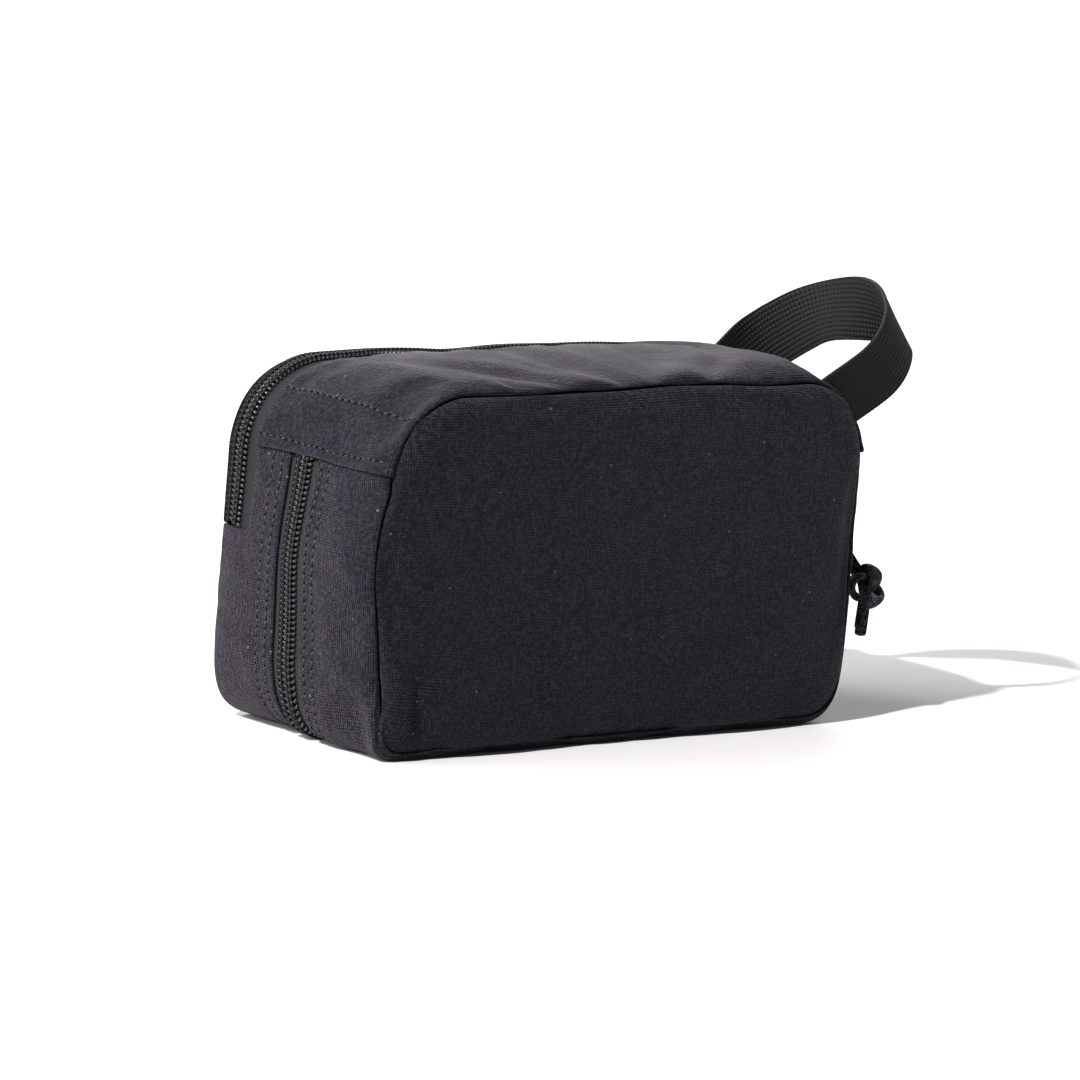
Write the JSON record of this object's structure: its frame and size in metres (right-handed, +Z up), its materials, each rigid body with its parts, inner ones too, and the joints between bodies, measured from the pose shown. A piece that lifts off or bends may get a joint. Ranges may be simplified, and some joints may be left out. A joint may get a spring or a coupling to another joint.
{
  "type": "shaving kit bag",
  "caption": "Boxy zipped canvas shaving kit bag with two compartments, a webbing carrying loop and knotted ribbon pulls.",
  "frame": {"origin": "on the floor plane below the bag's centre, on the underside of the centre zip's coil", "axes": "+X along the bag towards the carrying loop, +Y through its depth from the back panel to the front panel, +Z up"},
  "size_m": [0.2778, 0.0958, 0.1684],
  "materials": {
    "canvas": "waxed canvas, charcoal black",
    "lining": "plain woven lining",
    "binding": "woven binding tape",
    "webbing": "black cotton webbing",
    "ribbon": "black woven ribbon",
    "zip_nylon": "black nylon coil and woven tape",
    "zip_metal": "black enamelled cast zinc"
  },
  "bodies": {
    "bag": {"top_panel": "canvas", "left_corner_patch": "canvas", "right_corner_patch": "canvas", "front_gusset": "canvas", "front_panel": "canvas", "back_panel_head": "canvas", "divider_panel": "lining", "front_lining": "lining", "head_binding": "binding", "side_zip_front_tape": "zip_nylon", "side_zip_front_coil": "zip_nylon", "side_zip_stop": "zip_metal", "top_zip_back_tape": "zip_nylon", "top_zip_back_coil": "zip_nylon", "top_zip_left_stop": "zip_metal", "top_zip_right_stop": "zip_metal", "strap_back_tab": "webbing", "strap_front_tab": "webbing"},
    "back_half": {"back_panel": "canvas", "back_gusset": "canvas", "side_zip_back_tape": "zip_nylon", "side_zip_back_coil": "zip_nylon", "back_lining": "lining", "back_binding": "binding"},
    "front_flap": {"front_flap": "canvas", "flap_lining": "lining", "top_zip_front_tape": "zip_nylon", "top_zip_front_coil": "zip_nylon"},
    "side_slider": {"side_slider": "zip_metal"},
    "side_pull": {"side_pull_ring": "zip_metal", "side_pull_ribbon": "ribbon"},
    "top_slider": {"top_slider": "zip_metal"},
    "top_pull": {"top_pull_ring": "zip_metal", "top_pull_ribbon": "ribbon"},
    "strap": {"strap_loop": "webbing"}
  },
  "joints": [
    {"name": "back_half_open", "type": "hinge", "parent": "bag", "child": "back_half", "pos_m": [0, -0.0475, 0.107], "axis": [-1, 0, 0], "range_deg": [0, 80]},
    {"name": "front_flap_open", "type": "hinge", "parent": "bag", "child": "front_flap", "pos_m": [0, 0.0475, 0.074], "axis": [-1, 0, 0], "range_deg": [0, 150]},
    {"name": "side_slider_run", "type": "slide", "parent": "bag", "child": "side_slider", "axis": [0, 0, -1], "range_m": [0, 0.022], "deforming": ["side_zip_front_coil", "side_zip_back_coil"]},
    {"name": "side_pull_swing", "type": "hinge", "parent": "side_slider", "child": "side_pull", "pos_m": [0.124, 0, 0.096], "axis": [0, -1, 0], "range_deg": [0, 100]},
    {"name": "top_slider_run", "type": "slide", "parent": "bag", "child": "top_slider", "axis": [0, 0, 1], "range_m": [0, 0.012], "deforming": ["top_zip_back_coil", "top_zip_front_coil"]},
    {"name": "top_pull_swing", "type": "hinge", "parent": "top_slider", "child": "top_pull", "pos_m": [0.124, 0.039, 0.085], "axis": [0, -1, 0], "range_deg": [0, 150]},
    {"name": "strap_flex", "type": "hinge", "parent": "bag", "child": "strap", "pos_m": [0.11164, 0, 0.12509], "axis": [0, -1, 0], "range_deg": [-8, 8], "stiffness_Nm_per_rad": 0.15}
  ]
}
